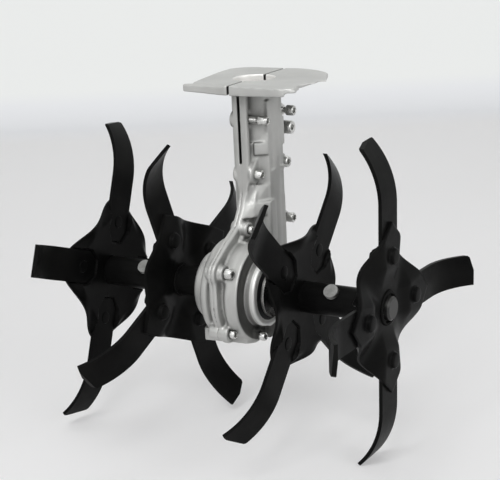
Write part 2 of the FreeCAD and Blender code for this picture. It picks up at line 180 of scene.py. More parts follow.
def castAluminium():
    s = castSettings
    material, tree, shader, coords = startMaterial("castAluminium")
    clouds = grain(tree, coords, s["cloudScale"], 3.0)
    skin = grain(tree, coords, s["skinScale"], 5.0, 0.6)
    sand = grain(tree, coords, s["sandScale"], 3.0, 0.6)
    colour = blendColours(tree, spread(tree, clouds, *s["cloudRange"]), s["dark"], s["light"])
    colour = blendColours(tree, spread(tree, skin, *s["skinRange"]), colour, s["light"])
    # painted shade: ambient occlusion darkens the creases
    creaseShadeMask = corners(tree, s["creaseReach"], *s["creaseRange"])
    colour = blendColours(tree, creaseShadeMask, s["paintedCreaseShade"], colour)
    # painted shade: a wider ambient occlusion darkens pockets, such as the column under the flange
    pockets = corners(tree, s["pocketReach"], *s["pocketRange"])
    colour = blendColours(tree, pockets, s["pocket"], colour)
    # the tube's bore, within a radius of its axis: machined, and painted brighter as painted light on its far
    # wall
    flat = addNode(tree, "ShaderNodeVectorMath", operation="MULTIPLY")
    flat.inputs[1].default_value = (1.0, 1.0, 0.0)
    tree.links.new(coords, flat.inputs[0])
    fromAxis = addNode(tree, "ShaderNodeVectorMath", operation="LENGTH")
    tree.links.new(flat.outputs[0], fromAxis.inputs[0])
    machinedAndLitBore = spread(tree, fromAxis.outputs["Value"], *s["machinedAndLitBoreRange"], 1.0, 0.0)
    colour = blendColours(tree, machinedAndLitBore, colour, s["machinedAndLitBore"])
    # painted shade on the drum's recessed ring
    colour = blendColours(tree, drumBand(tree, coords, *s["recessBand"]), colour, s["recess"])
    # machined boss face, also painted brighter as painted light from the front
    colour = blendColours(tree, drumBand(tree, coords, *s["machinedAndLitFaceBand"]), colour, s["machinedAndLitFace"])
    # painted shade inside the clamp's gap
    colour = blendColours(tree, gapShadeMask(tree, coords, s["gapWidth"], s["gapBottom"]), colour, s["gap"])
    tree.links.new(colour, shader.inputs["Base Color"])
    tree.links.new(spread(tree, skin, 0.3, 0.7, *s["gloss"]), shader.inputs["Roughness"])
    shader.inputs["Metallic"].default_value = s["metallic"]
    relief(tree, shader, [(skin, 0.25, s["skinDepth"]), (sand, 0.30, s["sandDepth"])])
    return material


paintSettings = {
    "deep": (0.0040, 0.0040, 0.0041), "worn": (0.0100, 0.0100, 0.0096), "scuff": (0.0150, 0.0149, 0.0142),
    "gloss": (0.27, 0.40), "specular": 0.032, "cloudScale": 22.0, "cloudDepth": 0.002, "scuffScale": 95.0,
    "peelScale": 620.0, "peelDepth": 0.00010,
}


def blackPaint():
    s = paintSettings
    material, tree, shader, coords = startMaterial("blackPaint")
    clouds = grain(tree, coords, s["cloudScale"], 4.0, 0.6)
    peel = grain(tree, coords, s["peelScale"], 2.0, 0.5)
    scuffs = grain(tree, coords, s["scuffScale"], 6.0, 0.7, 0.6)
    colour = blendColours(tree, spread(tree, clouds, 0.35, 0.7), s["deep"], s["worn"])
    colour = blendColours(tree, spread(tree, scuffs, 0.62, 0.74, 0.0, 0.5), colour, s["scuff"])
    tree.links.new(colour, shader.inputs["Base Color"])
    tree.links.new(spread(tree, scuffs, 0.3, 0.7, *s["gloss"]), shader.inputs["Roughness"])
    shader.inputs["Specular IOR Level"].default_value = s["specular"]
    relief(tree, shader, [(clouds, 0.12, s["cloudDepth"]), (peel, 0.16, s["peelDepth"])])
    return material


zincSettings = {
    # the darkest colour is painted shade in the creases
    "dark": (0.55, 0.55, 0.54), "light": (0.80, 0.80, 0.78), "paintedCreaseShade": (0.08, 0.08, 0.075),
    "gloss": (0.24, 0.36), "spangleScale": 900.0, "cloudScale": 180.0, "creaseReach": 0.002,
}


def zincPlate():
    s = zincSettings
    material, tree, shader, coords = startMaterial("zincPlate")
    spangle = addNode(tree, "ShaderNodeTexVoronoi", {"Scale": s["spangleScale"]}, feature="F1")
    tree.links.new(coords, spangle.inputs["Vector"])
    cloud = grain(tree, coords, s["cloudScale"], 4.0)
    colour = tint(tree, cloud, [(0.3, s["dark"]), (0.7, s["light"])])
    # painted shade: ambient occlusion darkens the creases
    creaseShadeMask = corners(tree, s["creaseReach"], 0.2, 0.8)
    colour = blendColours(tree, creaseShadeMask, s["paintedCreaseShade"], colour)
    tree.links.new(colour, shader.inputs["Base Color"])
    rough = spread(tree, spangle.outputs["Distance"], 0.0, 0.9, *s["gloss"])
    tree.links.new(rough, shader.inputs["Roughness"])
    shader.inputs["Metallic"].default_value = 1.0
    relief(tree, shader, [(cloud, 0.06, 0.0001)])
    return material


steelSettings = {
    "dark": (0.36, 0.355, 0.345), "light": (0.56, 0.555, 0.54), "gloss": (0.20, 0.38),
    "latheScale": 2600.0, "latheStretch": (1.0, 0.05, 0.05), "latheDepth": 0.00005, "cloudScale": 60.0,
}


def brightSteel():
    s = steelSettings
    material, tree, shader, coords = startMaterial("brightSteel")
    stretched = addNode(tree, "ShaderNodeMapping", {"Scale": s["latheStretch"]})
    tree.links.new(coords, stretched.inputs["Vector"])
    lathe = grain(tree, stretched.outputs["Vector"], s["latheScale"], 3.0)
    cloud = grain(tree, coords, s["cloudScale"], 4.0)
    colour = tint(tree, cloud, [(0.3, s["dark"]), (0.7, s["light"])])
    tree.links.new(colour, shader.inputs["Base Color"])
    tree.links.new(spread(tree, lathe, 0.3, 0.7, *s["gloss"]), shader.inputs["Roughness"])
    shader.inputs["Metallic"].default_value = 1.0
    relief(tree, shader, [(lathe, 0.20, s["latheDepth"])])
    return material


# finishes that are only clouded: colours, roughness, metal, and the clouds' scale, detail and roughness
cloudedFinishes = {
    "dullZinc": ((0.20, 0.20, 0.195), (0.34, 0.34, 0.33), (0.42, 0.58), 0.7, (240.0, 5.0, 0.6)),
    "darkSteel": ((0.020, 0.020, 0.020), (0.055, 0.054, 0.052), (0.34, 0.5), 0.6, (150.0, 5.0, 0.6)),
    "sealRubber": ((0.012, 0.012, 0.013), (0.030, 0.030, 0.031), (0.48, 0.66), 0.0, (700.0, 3.0, 0.55)),
}


def cloudedFinish(name):
    dark, light, gloss, metallic, clouds = cloudedFinishes[name]
    material, tree, shader, coords = startMaterial(name)
    cloud = grain(tree, coords, *clouds)
    tree.links.new(tint(tree, cloud, [(0.3, dark), (0.7, light)]), shader.inputs["Base Color"])
    tree.links.new(spread(tree, cloud, 0.3, 0.7, *gloss), shader.inputs["Roughness"])
    shader.inputs["Metallic"].default_value = metallic
    relief(tree, shader, [(cloud, 0.2, 0.0001)])
    return material


finishes = {
    "cast_aluminium": castAluminium(), "black_paint": blackPaint(), "zinc_plate": zincPlate(),
    "bright_steel": brightSteel(), "seal_rubber": cloudedFinish("sealRubber"),
    "pin": cloudedFinish("dullZinc"), "shaft": cloudedFinish("darkSteel"),
}
# how a part's name starts, and its finish
nodeFinish = {
    "case_": "cast_aluminium", "clevis_pin": "pin", "hub_tube": "black_paint",
    "input_coupling": "bright_steel", "shaft_seal": "seal_rubber", "star_plate": "black_paint",
    "thrust_washer": "bright_steel", "tine_shaft": "shaft", "tine_": "black_paint",
}


def dressNode(name, node):
    slot = next(finish for start, finish in nodeFinish.items() if name.startswith(start))
    node.data.materials.clear()
    node.data.materials.append(finishes[slot])


for nodeName, node in nodes.items():
    dressNode(nodeName, node)
print("materials made")


def addPiece(name, mesh, body, slot, sharp=32.0):
    for polygon in mesh.polygons:
        polygon.use_smooth = True
    mesh.set_sharp_from_angle(angle=math.radians(sharp))
    piece = bpy.data.objects.new(name, mesh)
    bpy.context.scene.collection.objects.link(piece)
    piece.data.materials.append(finishes[slot])
    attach(piece, body)
    return piece


def meshFrom(build, name):
    sketch = bmesh.new()
    build(sketch)
    bmesh.ops.recalc_face_normals(sketch, faces=sketch.faces)
    mesh = bpy.data.meshes.new(name)
    sketch.to_mesh(mesh)
    sketch.free()
    return mesh


knurl = {"ridges": 36, "height": 0.022}      # ridges on the screw heads, their height a share of the radius


def ringRadius(shape, radius, angle):
    if shape == "hex":
        turned = (angle + math.pi / 6) % (math.pi / 3) - math.pi / 6
        return radius / math.cos(turned)
    if shape == "knurl":
        return radius * (1.0 + knurl["height"] * math.cos(knurl["ridges"] * angle))
    return radius


def turnedSolid(sketch, rings, place, segments=72):
    loops = []
    for along, radius, shape in rings:
        loop = []
        for i in range(segments):
            angle = 2 * math.pi * i / segments
            r = ringRadius(shape, radius, angle)
            loop.append(sketch.verts.new(place @ Vector((along, r * math.cos(angle), r * math.sin(angle)))))
        loops.append(loop)
    for a, b in zip(loops, loops[1:]):
        for i in range(segments):
            j = (i + 1) % segments
            sketch.faces.new((a[i], a[j], b[j], b[i]))
    sketch.faces.new(loops[0][::-1])
    sketch.faces.new(loops[-1])


def crosswise(x, y, z):
    # place of a turned piece whose axis runs along X
    return Matrix.Translation((x * mm, y * mm, z * mm)) @ Matrix.Scale(mm, 4)


# soft-edged castings that show in place of the case halves
casting = {
    "join": 1e-6, "voxel": 0.00062, "rounds": 7, "softness": 0.5, "keep": 0.20,
    "splitGuard": (0.5, 2.0), "flangeGuard": (-10.0, -6.5), "flangeSoftness": 0.25,
}


def prism(sketch, bottomOutline, topOutline, low, high, axis):
    def spot(a, b, c):
        x, y, z = {"x": (c, a, b), "y": (a, c, b), "z": (a, b, c)}[axis]
        return Vector((x * mm, (y + shaftY) * mm, (z + shaftZ) * mm))
    bottom = [sketch.verts.new(spot(a, b, low)) for a, b in bottomOutline]
    top = [sketch.verts.new(spot(a, b, high)) for a, b in topOutline]
    sketch.faces.new(bottom[::-1])
    sketch.faces.new(top)
    count = len(bottom)
    for i in range(count):
        j = (i + 1) % count
        sketch.faces.new((bottom[i], bottom[j], top[j], top[i]))


def ringForm(sketch, profile, turns=160):
    # closed profile of (along X, radius) turned about the tine shaft
    loops = []
    for i in range(turns):
        angle = 2 * math.pi * i / turns
        loops.append([sketch.verts.new(Vector((
            along * mm,
            (shaftY + radius * math.cos(angle)) * mm,
            (shaftZ + radius * math.sin(angle)) * mm,
        ))) for along, radius in profile])
    count = len(profile)
    for i in range(turns):
        a, b = loops[i], loops[(i + 1) % turns]
        for k in range(count):
            m = (k + 1) % count
            sketch.faces.new((a[k], a[m], b[m], b[k]))


def boreWall(radius, start, end, steps=10):
    # back edge of a form, inside the wall round the tube's bore, from the side of the column to its front
    angles = [math.radians(start + (end - start) * k / steps) for k in range(steps + 1)]
    return [(radius * math.sin(a), -shaftY - radius * math.cos(a)) for a in angles]


def roundOutline(y, z, radius, angles):
    return [(y + radius * math.cos(math.radians(a)), z + radius * math.sin(math.radians(a))) for a in angles]


# outlines of the cast forms, each square to the way that it runs
columnFront = [(1.0, 9.0), (4.8, 11.4), (6.0, 14.8), (14.0, 19.9), (15.0, 21.0)] + boreWall(15.0, 84.0, 4.0)
wormBlock = [(1.0, 11.0), (4.0, 12.2), (15.6, 17.2), (16.2, 18.4)] + boreWall(17.0, 72.0, 3.5)
neckLow = [(1.0, 0.6), (3.2, 0.8), (8.8, 5.6), (14.4, 16.9)] + boreWall(17.0, 58.0, 3.5)
neckLedge = [(1.0, 5.4), (3.2, 5.6), (8.8, 8.6), (14.4, 16.9)] + boreWall(17.0, 58.0, 3.5)
neckStep = [(1.0, 5.6), (3.2, 5.9), (8.6, 10.6), (14.2, 19.7)] + boreWall(15.0, 71.0, 4.0)
neckHigh = [(1.0, 7.8), (4.8, 8.2), (8.6, 14.0), (14.2, 19.9)] + boreWall(15.0, 71.0, 4.0)
gussetLow = [(7.5, 16.0), (14.4, 18.0), (15.0, 19.4)] + boreWall(15.0, 84.0, 30.0)
gussetHigh = [(12.4, 21.2), (14.4, 21.4), (15.0, 22.0)] + boreWall(15.0, 84.0, 56.0)
teardrop = [(min(y, 15.9), z) for y, z in roundOutline(12.5, 77.5, 6.6, range(150, 376, 15))] + [(15.9, 88.6)]
arch = roundOutline(46.0, 103.0, 11.0, range(110, 251, 10))
sideRib = [(14.8, 22.0), (16.0, 22.6), (16.0, 43.0), (14.8, 44.0)]
tabLow = [(38.0, -6.2), (43.8, -6.0), (48.2, -4.4), (49.6, -2.6), (49.0, -0.4), (46.6, 4.2), (46.0, 9.0),
          (38.0, 11.0)]
tabHigh = [(38.0, -5.8), (43.4, -5.6), (46.9, -4.2), (48.1, -2.6), (47.5, -0.6), (45.3, 4.0), (44.7, 9.0),
           (38.0, 11.0)]
splitWeb = [(-6.0, -4.8), (-0.8, -5.0), (-0.8, 3.0), (-6.0, 3.0)]
# forms added to each half: outline at the low end and at the high end, the two ends, the axis between them
castForms = {
    "case_right": [
        (tabLow, tabHigh, 137.0, 140.0, "z"),
        (columnFront, columnFront, 58.0, 98.6, "z"),
        (neckLow, neckLedge, 48.5, 58.4, "z"),
        (neckStep, neckHigh, 58.0, 70.0, "z"),
        (wormBlock, wormBlock, 30.0, 58.4, "z"),
        (gussetLow, gussetHigh, 98.5, 112.0, "z"),
        (teardrop, teardrop, 2.0, 8.5, "x"),
        (arch, arch, 14.4, 15.4, "x"),
        (sideRib, sideRib, 77.0, 79.2, "z"),
    ],
    "case_left": [(splitWeb, splitWeb, 133.8, 138.0, "z")],
}
# raised edge of the drum, along the shaft and out from it
drumEdge = [(6.5, 30.0), (6.5, 34.1), (15.9, 34.1), (16.6, 33.4), (16.6, 25.6), (15.4, 24.0), (11.0, 24.0)]


def guard(value, low, high):
    return min(max((value - low) / (high - low), 0.0), 1.0)


# the front rim of the split runs straight past the screw bosses
rim = {"front": 7.0, "bottom": 66.0, "top": 126.0, "left": -4.4, "right": 6.2}
# shallow groove in the drum beside its rim: how far from the split it starts and ends, and its two ends
groove = {"depth": 2.6, "start": (3.1, 3.7), "end": (5.9, 6.9), "low": (-20.0, -15.0), "high": (11.0, 16.0),
          "leastRadius": 30.0, "front": -8.0}
# the lip is shorter at its right end, and at the left the plate stands in from the lip
flange = {"bottom": 132.0, "lipCut": 2.2, "lipSide": (34.0, 42.0), "lipFront": (-6.4, -5.2),
          "plateCut": 5.6, "plateSide": (20.0, 36.0), "behindLip": (-0.6, 0.6), "fade": (1.0, 42.0)}


def shapeDetail(vert):
    x, y, z = vert.co.x / mm, vert.co.y / mm - shaftY, vert.co.z / mm - shaftZ
    radius = math.hypot(y, z)
    if z > flange["bottom"]:
        lipCut = flange["lipCut"] * guard(x, *flange["lipSide"]) * (1.0 - guard(y, *flange["lipFront"]))
        plateCut = flange["plateCut"] * guard(-x, *flange["plateSide"]) * guard(y, *flange["behindLip"])
        plateCut *= 1.0 - guard(y, *flange["fade"])
        vert.co.x += (plateCut - lipCut) * mm
    if rim["bottom"] < z < rim["top"] and y < rim["front"] and rim["left"] < x < rim["right"]:
        vert.co.y = (shaftY + rim["front"]) * mm
    if radius > groove["leastRadius"] and y < groove["front"] and groove["low"][0] < z < groove["high"][1]:
        inside = guard(abs(x), *groove["start"]) * (1.0 - guard(abs(x), *groove["end"]))
        inside *= guard(z, *groove["low"]) * (1.0 - guard(z, *groove["high"]))
        shrink = 1.0 - groove["depth"] * inside / radius
        vert.co.y = (shaftY + y * shrink) * mm
        vert.co.z = (shaftZ + z * shrink) * mm


def relax(mesh, rounds):
    # edges soften as in a casting, but stay crisp along the split and on the flange
    sketch = bmesh.new()
    sketch.from_mesh(mesh)
    verts = list(sketch.verts)
    weights = []
    for vert in verts:
        keep = guard(abs(vert.co.x) / mm, *casting["splitGuard"])
        keep *= 1.0 - (1.0 - casting["flangeSoftness"]) * guard(vert.co.z / mm, *casting["flangeGuard"])
        weights.append(casting["softness"] * keep)
        shapeDetail(vert)
    neighbours = [[edge.other_vert(vert) for edge in vert.link_edges] for vert in verts]
    for _ in range(rounds):
        moved = []
        for vert, near, weight in zip(verts, neighbours, weights):
            if weight == 0.0:
                moved.append(vert.co.copy())
                continue
            middle = Vector()
            for other in near:
                middle += other.co
            moved.append(vert.co.lerp(middle / len(near), weight))
        for vert, place in zip(verts, moved):
            vert.co = place
    sketch.to_mesh(mesh)
    sketch.free()


def bakeModifier(mesh, kind, **settings):
    holder = bpy.data.objects.new("rough", mesh)
    bpy.context.scene.collection.objects.link(holder)
    modifier = holder.modifiers.new("step", kind)
    for key, value in settings.items():
        setattr(modifier, key, value)
    made = bpy.data.meshes.new_from_object(holder.evaluated_get(bpy.context.evaluated_depsgraph_get()))
    bpy.data.objects.remove(holder)
    return made


def softCasting(nodeName):
    sketch = bmesh.new()
    sketch.from_mesh(nodes[nodeName].data)
    bmesh.ops.remove_doubles(sketch, verts=sketch.verts, dist=casting["join"])
    for form in castForms[nodeName]:
        prism(sketch, *form)
    if nodeName == "case_right":
        ringForm(sketch, drumEdge)
    bmesh.ops.recalc_face_normals(sketch, faces=sketch.faces)
    mesh = bpy.data.meshes.new("rough")
    sketch.to_mesh(mesh)
    sketch.free()
    mesh = bakeModifier(mesh, "REMESH", mode="VOXEL", voxel_size=casting["voxel"])
    relax(mesh, casting["rounds"])
    mesh = bakeModifier(mesh, "DECIMATE", ratio=casting["keep"])
    print(nodeName, "casting has", len(mesh.polygons), "faces")
    piece = addPiece("casting_" + nodeName, mesh, "gearbox", "cast_aluminium", 60.0)
    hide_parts(nodeName)


for halfName in castForms:
    softCasting(halfName)
print("castings made")


# the plates' outline, channels over the tines and dished webs; a tine is 2.5 thick
tineHalf = 1.25
plate = {
    "thick": 2.2, "hubRadius": 10.55, "tipRadius": 57.5, "lobeRadius": 49.0, "valleyRadius": 41.5,
    "lobeHalf": 13.8, "hubDip": 3.4, "hubFlat": 12.5, "hubSlope": 17.0, "dishPower": 1.6, "dishLimit": 1.15,
    "channelHalf": 7.6, "channelGrowth": 0.115, "channelSlope": 5.0, "rimBand": 7.0, "rimRound": 0.35,
    "tineWidth": 11.65, "tineEnd": 20.9, "tineCorner": 5.65, "closeness": 0.8, "leastThick": 1.2,
    "turns": 320, "steps": 40,
}
# how far each plate's webs dip at the rim
rimDips = {"outer_right": 8.6, "inner_right": 5.4, "inner_left": 6.6, "outer_left": 5.8}


def softStep(value):
    value = min(max(value, 0.0), 1.0)
    return value * value * (3.0 - 2.0 * value)


def plateEdge(angle):
    p = plate
    away = abs((angle + 45.0) % 90.0 - 45.0)           # from the nearest arm, in degrees
    tip, lobe = Vector((p["tipRadius"], 0.0)), math.radians(p["lobeHalf"])
    shoulder = Vector((p["lobeRadius"] * math.cos(lobe), p["lobeRadius"] * math.sin(lobe)))
    if away < p["lobeHalf"]:
        ray = Vector((math.cos(math.radians(away)), math.sin(math.radians(away))))
        run = shoulder - tip
        return (tip.x * run.y - tip.y * run.x) / (ray.x * run.y - ray.y * run.x)
    # arc through both shoulders and the valley
    half = math.radians(45.0)
    chordHalf = p["lobeRadius"] * math.sin(half - lobe)
    chordAway = p["lobeRadius"] * math.cos(half - lobe)
    sag = chordAway - p["valleyRadius"]
    arcRadius = (chordHalf ** 2 + sag ** 2) / (2 * sag)
    centre = p["valleyRadius"] + arcRadius
    off = half - math.radians(away)
    return centre * math.cos(off) - math.sqrt(max(arcRadius ** 2 - (centre * math.sin(off)) ** 2, 0.0))


def plateHeights(radius, angle, edge, rimDip):
    # upper and lower face: the upper one is a soft dish, the lower one closes tightly round the tines
    p = plate
    turn = math.radians((angle + 45.0) % 90.0 - 45.0)
    offside = abs(radius * math.sin(turn))
    alongArm = radius * math.cos(turn)
    outward = max(radius - p["hubFlat"], 0.0) / (p["valleyRadius"] - p["hubFlat"])
    web = p["thick"] - p["hubDip"] - (rimDip - p["hubDip"]) * min(outward, p["dishLimit"]) ** p["dishPower"]
    channel = p["channelHalf"] + p["channelGrowth"] * max(alongArm - p["tineEnd"], 0.0)
    rise = 1.0 - softStep((offside - channel) / max(0.707 * radius - channel, p["channelSlope"]))
    rise *= softStep((alongArm - p["hubFlat"]) / p["hubSlope"])
    upper = web + (p["thick"] - web) * rise
    fromTine = max(offside - p["tineWidth"], p["tineEnd"] - alongArm,
                   0.8 * (offside - p["tineCorner"]) - 0.6 * (alongArm - p["tineEnd"]))
    tight = (web - p["thick"]) * softStep(fromTine / p["closeness"])
    lower = min(tight, upper - p["leastThick"])
    band = softStep((radius - edge + p["rimBand"]) / p["rimBand"])
    return upper, lower + (upper - p["thick"] - lower) * band


def makePlate(name, row):
    x, phase, side = row
    turns, steps = plate["turns"], plate["steps"]

    def build(sketch):
        def vertex(height, radius, angle):
            turn = math.radians(angle + phase)
            return sketch.verts.new(Vector((
                (x + side * (tineHalf + height)) * mm,
                (-radius * math.sin(turn) + shaftY) * mm,
                (radius * math.cos(turn) + shaftZ) * mm)))

        top, bottom = [], []
        for i in range(turns):
            angle = 360.0 * i / turns
            edge = plateEdge(angle)
            upper, lower = [], []
            for k in range(steps + 1):
                part = k / steps
                radius = plate["hubRadius"] + (edge - plate["hubRadius"]) * part
                high, low = plateHeights(radius, angle, edge, rimDips[name])
                rounding = plate["rimRound"] if k == steps else 0.0
                upper.append(vertex(high - rounding, radius, angle))
                lower.append(vertex(low + rounding * 0.5, radius, angle))
            top.append(upper)
            bottom.append(lower)
        for i in range(turns):
            j = (i + 1) % turns
            for k in range(steps):
                sketch.faces.new((top[i][k], top[i][k + 1], top[j][k + 1], top[j][k]))
                sketch.faces.new((bottom[i][k], bottom[j][k], bottom[j][k + 1], bottom[i][k + 1]))
            sketch.faces.new((top[i][steps], bottom[i][steps], bottom[j][steps], top[j][steps]))
            sketch.faces.new((top[i][0], top[j][0], bottom[j][0], bottom[i][0]))

    mesh = meshFrom(build, "pressed_plate_" + name)
    piece = addPiece("pressed_plate_" + name, mesh, "tine_rotor", "black_paint", 45.0)
    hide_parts("star_plate_" + name)


# socket head screws through the split
screw = {
    "shankRadius": 2.35, "shankEnd": 0.6, "tipDepth": 0.5, "pitch": 0.8, "threadDepth": 0.48,
    "stepsPerThread": 6, "keyFlat": 1.9, "keyShare": 0.56, "keyDepth": 2.6, "keyPoint": 0.7,
    "mouthShare": 1.22, "mouthDepth": 0.25, "edge": 0.35, "edgeDrop": 0.15, "endDrop": 0.6,
    "washerRadius": 4.6, "washerThick": 0.9, "washerEdge": 0.15, "springRadius": 3.9, "springThick": 1.2,
}
# Y and Z from the tine shaft, height of the right and left seat from the split, lift of the head, washers,
# radius and length of the head
screwSpots = {
    "clamp_front": (13.0, 114.5, 4.0, 7.6, 8.2, False, 3.0, 7.0),
    "column_front": (12.5, 77.5, 8.6, 6.2, -1.4, False, 3.1, 6.6),
    "neck": (2.0, 41.5, 8.0, 4.8, -0.6, False, 2.6, 3.0),
    "drum_front": (-30.0, 19.5, 7.0, 7.0, 0.0, False, 3.4, 5.6),
    "foot_front": (-28.0, -23.4, 7.5, 7.5, -0.6, False, 2.7, 4.4),
    "foot_back": (-8.0, -29.8, 18.6, 16.0, -1.0, False, 2.8, 5.4),
    "clamp_back_top": (50.5, 114.8, 7.5, 5.4, 3.4, True, 3.5, 5.8),
    "clamp_back": (50.5, 103.0, 7.5, 5.4, 0.4, True, 4.5, 7.0),
    "column_back": (50.5, 78.5, 8.5, 5.4, -0.8, False, 3.9, 5.4),
    "worm_back": (50.5, 38.5, 7.5, 5.4, 1.2, True, 3.4, 5.2),
}


def screwHead(sketch, start, place, radius, length):
    s = screw
    end = start + length
    edge = s["edge"]
    key = min(s["keyFlat"], radius * s["keyShare"])
    turnedSolid(sketch, [
        (start, radius - edge, "round"),
        (start + edge, radius, "knurl"),
        (end - 2 * edge, radius, "knurl"),
        (end - edge, radius - s["edgeDrop"], "round"),
        (end, radius - s["endDrop"], "round"),
        (end, key * s["mouthShare"], "round"),
        (end - s["mouthDepth"], key, "hex"),
        (end - s["keyDepth"], key, "hex"),
        (end - s["keyDepth"] - s["keyPoint"], 0.3, "round"),
    ], place)


def screwWashers(sketch, start, place):
    s = screw
    thick, high, edge = s["washerThick"], s["springThick"], s["washerEdge"]
    turnedSolid(sketch, [
        (start, s["washerRadius"] - edge, "round"),
        (start + edge, s["washerRadius"], "round"),
        (start + thick - edge, s["washerRadius"], "round"),
        (start + thick, s["washerRadius"] - edge, "round"),
    ], place)
    turnedSolid(sketch, [
        (start + thick, s["springRadius"], "round"),
        (start + thick + high, s["springRadius"], "round"),
    ], place)
    return start + thick + high


def threadedShank(sketch, start, end, place, segments=36):
    s = screw
    steps = int((end - start) / s["pitch"] * s["stepsPerThread"])
    loops = []
    for k in range(steps + 1):
        along = start + (end - start) * k / steps
        loop = []
        for i in range(segments):
            angle = 2 * math.pi * i / segments
            phase = (along / s["pitch"] + i / segments) % 1.0
            r = s["shankRadius"] - s["threadDepth"] * (1.0 - abs(2.0 * phase - 1.0))
            if k == 0:
                r = s["shankRadius"] - s["tipDepth"]
            loop.append(sketch.verts.new(place @ Vector((along, r * math.cos(angle), r * math.sin(angle)))))
        loops.append(loop)
    for a, b in zip(loops, loops[1:]):
        for i in range(segments):
            j = (i + 1) % segments
            sketch.faces.new((a[i], a[j], b[j], b[i]))
    sketch.faces.new(loops[0][::-1])
    sketch.faces.new(loops[-1])


def makeScrew(name, spot):
    y, z, right, left, lift, washers, radius, length = spot
    place = crosswise(0.0, y + shaftY, z + shaftZ)

    def build(sketch):
        start = right
        if washers:
            start = screwWashers(sketch, start, place)
        start += lift
        threadedShank(sketch, -left + screw["shankEnd"], start + 0.4, place)     # ends inside the head
        screwHead(sketch, start, place, radius, length)

    addPiece("screw_" + name, meshFrom(build, "screw_" + name), "gearbox", "zinc_plate")


for spotName, spot in screwSpots.items():
    makeScrew(spotName, spot)
print("screws made")


# rivets that hold the tines in the star plates
rivet = {"ring": 35.0, "radius": 5.3, "height": 2.9, "corner": 1.3, "fillet": 1.3, "sunk": 0.3,
         "crown": 0.15, "crownShare": 0.4, "backRadius": 4.3, "backHeight": 0.45, "backCorner": 0.4,
         "backFillet": 0.2}
# middle of the tines along X, turn of the first arm, side that the plate lies on
rotorRows = {
    "outer_right": (110.0, -1.8, 1), "inner_right": (47.6, 46.8, -1),
    "inner_left": (-47.6, 22.4, 1), "outer_left": (-110.0, -20.0, -1),
}


def rivetHead(sketch, place, radius, height, corner, fillet):
    rings = [(-rivet["sunk"], radius + fillet, "round")]
    for step in range(5):
        bend = math.radians(90.0 * step / 4)
        rings.append((fillet * (1.0 - math.cos(bend)), radius + fillet * (1.0 - math.sin(bend)), "round"))
    for step in range(6):
        bend = math.radians(90.0 * step / 5)
        top, wide = height - corner + corner * math.sin(bend), radius - corner + corner * math.cos(bend)
        rings.append((top, wide, "round"))
    rings.append((height + rivet["crown"], radius * rivet["crownShare"], "round"))
    turnedSolid(sketch, rings, place, 48)


def makeRivets(name, row):
    x, phase, side = row

    def build(sketch):
        for arm in range(4):
            turn = math.radians(phase + 90.0 * arm)
            y = -rivet["ring"] * math.sin(turn) + shaftY
            z = rivet["ring"] * math.cos(turn) + shaftZ
            front = crosswise(x + side * (tineHalf + plate["thick"]), y, z) @ Matrix.Scale(side, 4, (1, 0, 0))
            back = crosswise(x - side * tineHalf, y, z) @ Matrix.Scale(-side, 4, (1, 0, 0))
            rivetHead(sketch, front, rivet["radius"], rivet["height"], rivet["corner"], rivet["fillet"])
            rivetHead(sketch, back, rivet["backRadius"], rivet["backHeight"], rivet["backCorner"],
                      rivet["backFillet"])

    addPiece("rivets_" + name, meshFrom(build, "rivets_" + name), "tine_rotor", "black_paint")


for rowName, row in rotorRows.items():
    makePlate(rowName, row)
    makeRivets(rowName, row)
print("plates and rivets made")


# weld beads where the star plates meet the hub tubes
weld = {"radius": 10.6, "size": 1.2, "ripples": 46, "wave": 0.35, "lobes": 3.1, "lobeSize": 0.25,
        "flatness": 0.8, "lift": 0.4, "turns": 184, "sides": 10}


def makeWeld(name, x):
    def build(sketch):
        turns, sides = weld["turns"], weld["sides"]
        loops = []
        for i in range(turns):
            angle = 2 * math.pi * i / turns
            fat = weld["size"] + weld["wave"] * math.sin(weld["ripples"] * angle) * 0.5
            fat += weld["lobeSize"] * math.sin(weld["lobes"] * angle + x)
            loop = []
            for k in range(sides):
                around = 2 * math.pi * k / sides
                r = weld["radius"] + fat * math.cos(around)
                along = x + fat * math.sin(around) * weld["flatness"]
                loop.append(sketch.verts.new(Vector((
                    along * mm, (r * math.cos(angle) + shaftY) * mm, (r * math.sin(angle) + shaftZ) * mm))))
            loops.append(loop)
        for i in range(turns):
            a, b = loops[i], loops[(i + 1) % turns]
            for k in range(sides):
                j = (k + 1) % sides
                sketch.faces.new((a[k], a[j], b[j], b[k]))

    addPiece("weld_" + name, meshFrom(build, "weld_" + name), "tine_rotor", "black_paint", 60.0)


for rowName, (x, _, side) in rotorRows.items():
    plateFace = x + side * (tineHalf + plate["thick"] - plate["hubDip"])
    makeWeld(rowName, plateFace + side * weld["lift"])
print("welds made")


# spring clips through the ends of the clevis pins: the wire's path lies along and beside the tine shaft
clip = {
    "pinX": 73.5, "tilt": 43.2, "along": -14.5, "wire": 0.85, "sides": 12,
    "path": [(-11.5, 0.0), (-4.0, 0.0), (4.0, 0.0), (9.0, 0.0), (12.0, -0.9), (14.6, 0.6), (14.6, 3.6),
             (11.8, 4.8), (8.6, 3.8), (6.2, 4.4), (3.2, 5.5), (0.0, 5.9), (-3.2, 5.3), (-5.6, 3.4),
             (-7.6, 2.7), (-9.8, 4.2)],
}


def smoothPath(points, steps=6):
    ends = [points[0]] + points + [points[-1]]
    smooth = []
    for k in range(1, len(ends) - 2):
        a, b, c, d = (Vector(spot) for spot in ends[k - 1:k + 3])
        for step in range(steps):
            t = step / steps
            smooth.append(0.5 * (2 * b + (c - a) * t + (2 * a - 5 * b + 4 * c - d) * t * t
                                 + (3 * b - a - 3 * c + d) * t ** 3))
    return smooth + [Vector(points[-1])]


